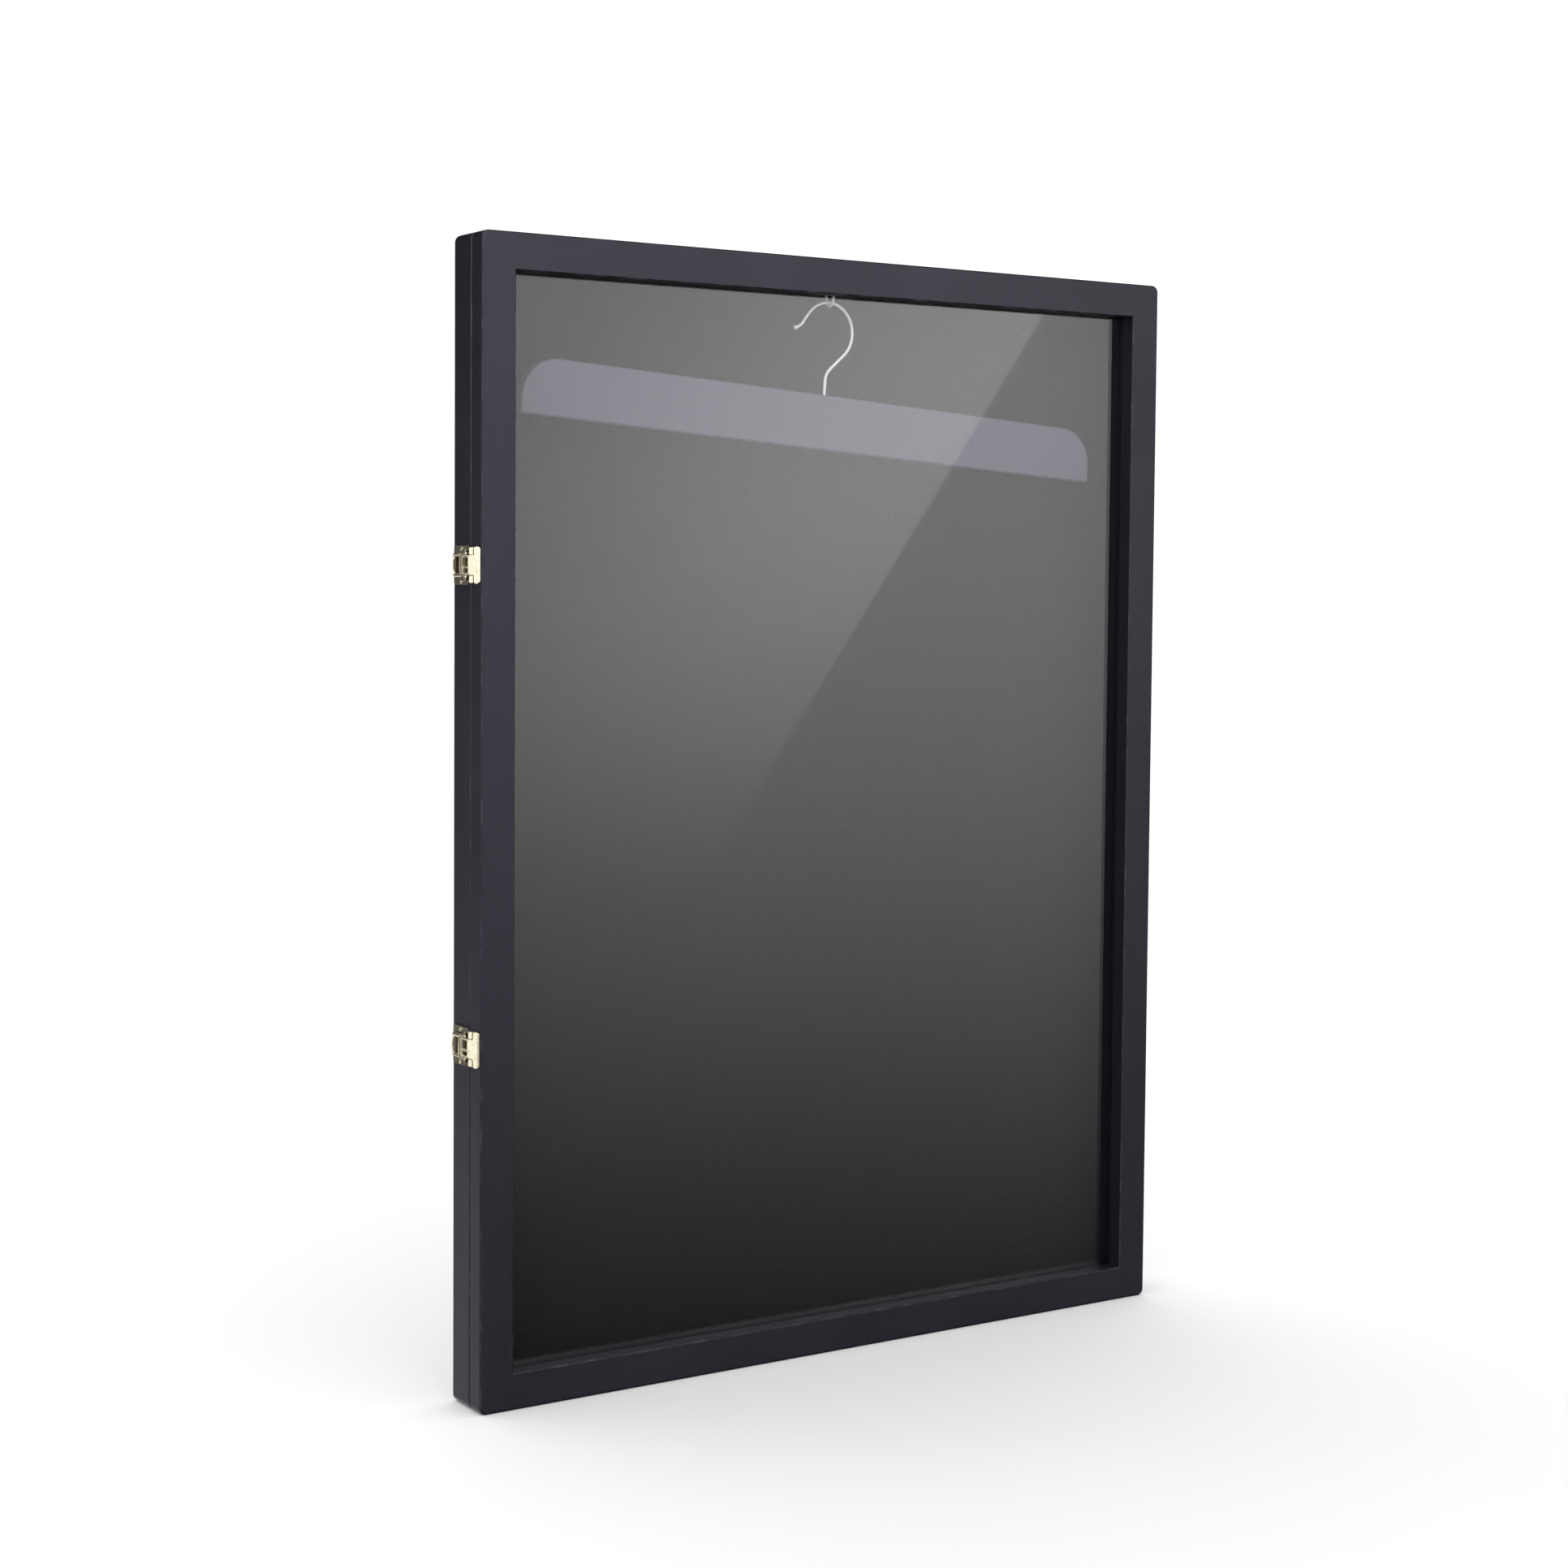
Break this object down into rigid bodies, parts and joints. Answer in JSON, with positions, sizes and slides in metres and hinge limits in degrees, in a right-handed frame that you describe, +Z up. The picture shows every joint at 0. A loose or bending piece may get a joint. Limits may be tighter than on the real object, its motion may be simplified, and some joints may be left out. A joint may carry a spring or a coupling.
{
  "type": "jersey display frame",
  "caption": "Shallow wall-hung jersey display frame: mitred black wooden case, side-hinged clear door held by brass draw latches, and a clothes hanger on an eye under the top rail.",
  "frame": {"origin": "centre of the flat back of the case, which lies against the wall", "axes": "+X to the right seen from the front, +Y into the wall, +Z up; the door faces -Y"},
  "size_m": [0.6011, 0.0406, 0.795],
  "materials": {
    "lacquer": "satin black lacquer with a faint violet cast over fine-grained wood",
    "hardboard": "bare dark hardboard with fine fibre mottling",
    "felt": "black woven display fabric, matt",
    "acrylic": "clear polished acrylic sheet",
    "retainer_strip": "black satin plastic strip",
    "brass": "bright brass plate, polished, slightly worn at the edges",
    "zinc": "zinc-plated steel",
    "hanger_wire": "drawn steel wire with a bright plated finish",
    "hanger_bar": "satin moulded plastic, cool grey"
  },
  "bodies": {
    "case": {"back_panel": "hardboard", "back_screw_bottom_left": "zinc", "back_screw_bottom_right": "zinc", "back_screw_left": "zinc", "back_screw_right": "zinc", "back_screw_top_left": "zinc", "back_screw_top_right": "zinc", "backing_board": "hardboard", "backing_fabric": "felt", "case_bottom_rail": "lacquer", "case_left_stile": "lacquer", "case_right_stile": "lacquer", "case_top_rail": "lacquer", "hanger_eye": "hanger_wire", "hinge_case_leaf_lower": "brass", "hinge_case_leaf_upper": "brass", "hinge_pin_lower": "brass", "hinge_pin_upper": "brass", "keyhole_plate_left": "zinc", "keyhole_plate_right": "zinc", "keyhole_screw_left_inner": "zinc", "keyhole_screw_left_outer": "zinc", "keyhole_screw_right_inner": "zinc", "keyhole_screw_right_outer": "zinc", "latch_lower_base": "brass", "latch_lower_screw_bottom": "brass", "latch_lower_screw_top": "brass", "latch_upper_base": "brass", "latch_upper_screw_bottom": "brass", "latch_upper_screw_top": "brass"},
    "door": {"acrylic_pane": "acrylic", "catch_lower_rivet_bottom": "brass", "catch_lower_rivet_top": "brass", "catch_upper_rivet_bottom": "brass", "catch_upper_rivet_top": "brass", "door_bottom_rail": "lacquer", "door_left_stile": "lacquer", "door_right_stile": "lacquer", "door_top_rail": "lacquer", "hinge_door_leaf_lower": "brass", "hinge_door_leaf_upper": "brass", "latch_lower_catch": "brass", "latch_upper_catch": "brass", "pane_retainer_bottom": "retainer_strip", "pane_retainer_left": "retainer_strip", "pane_retainer_right": "retainer_strip", "pane_retainer_top": "retainer_strip"},
    "latch_upper_lever": {"latch_upper_lever": "brass", "latch_upper_loop_pin": "zinc"},
    "latch_upper_loop": {"latch_upper_loop": "brass"},
    "latch_lower_lever": {"latch_lower_lever": "brass", "latch_lower_loop_pin": "zinc"},
    "latch_lower_loop": {"latch_lower_loop": "brass"},
    "hanger_hook": {"hanger_hook": "hanger_wire"},
    "hanger_bar": {"hanger_bar": "hanger_bar"}
  },
  "joints": [
    {"name": "door_hinge", "type": "hinge", "parent": "case", "child": "door", "pos_m": [0.29841, -0.02469, 0], "axis": [0, 0, 1], "range_deg": [0, 175]},
    {"name": "latch_upper_lever_pivot", "type": "hinge", "parent": "case", "child": "latch_upper_lever", "pos_m": [-0.29871, -0.0232, 0.176], "axis": [0, 0, 1], "range_deg": [0, 105]},
    {"name": "latch_upper_loop_pivot", "type": "hinge", "parent": "latch_upper_lever", "child": "latch_upper_loop", "pos_m": [-0.29871, -0.0188, 0.176], "axis": [0, 0, 1], "range_deg": [-132, 0]},
    {"name": "latch_lower_lever_pivot", "type": "hinge", "parent": "case", "child": "latch_lower_lever", "pos_m": [-0.29871, -0.0232, -0.149], "axis": [0, 0, 1], "range_deg": [0, 105]},
    {"name": "latch_lower_loop_pivot", "type": "hinge", "parent": "latch_lower_lever", "child": "latch_lower_loop", "pos_m": [-0.29871, -0.0188, -0.149], "axis": [0, 0, 1], "range_deg": [-132, 0]},
    {"name": "hanger_swing", "type": "hinge", "parent": "case", "child": "hanger_hook", "pos_m": [0, -0.0176, 0.3662], "axis": [0, 1, 0], "range_deg": [-16, 8]},
    {"name": "hanger_swivel", "type": "hinge", "parent": "hanger_hook", "child": "hanger_bar", "pos_m": [-0.00453, -0.0176, 0.30136], "axis": [0.0698, 0, 0.9976], "range_deg": [-0.8, 0.8]}
  ],
  "couplings": [
    {"joint": "latch_upper_loop_pivot", "follows": "latch_upper_lever_pivot", "ratio": -1.25},
    {"joint": "latch_lower_loop_pivot", "follows": "latch_lower_lever_pivot", "ratio": -1.25}
  ]
}
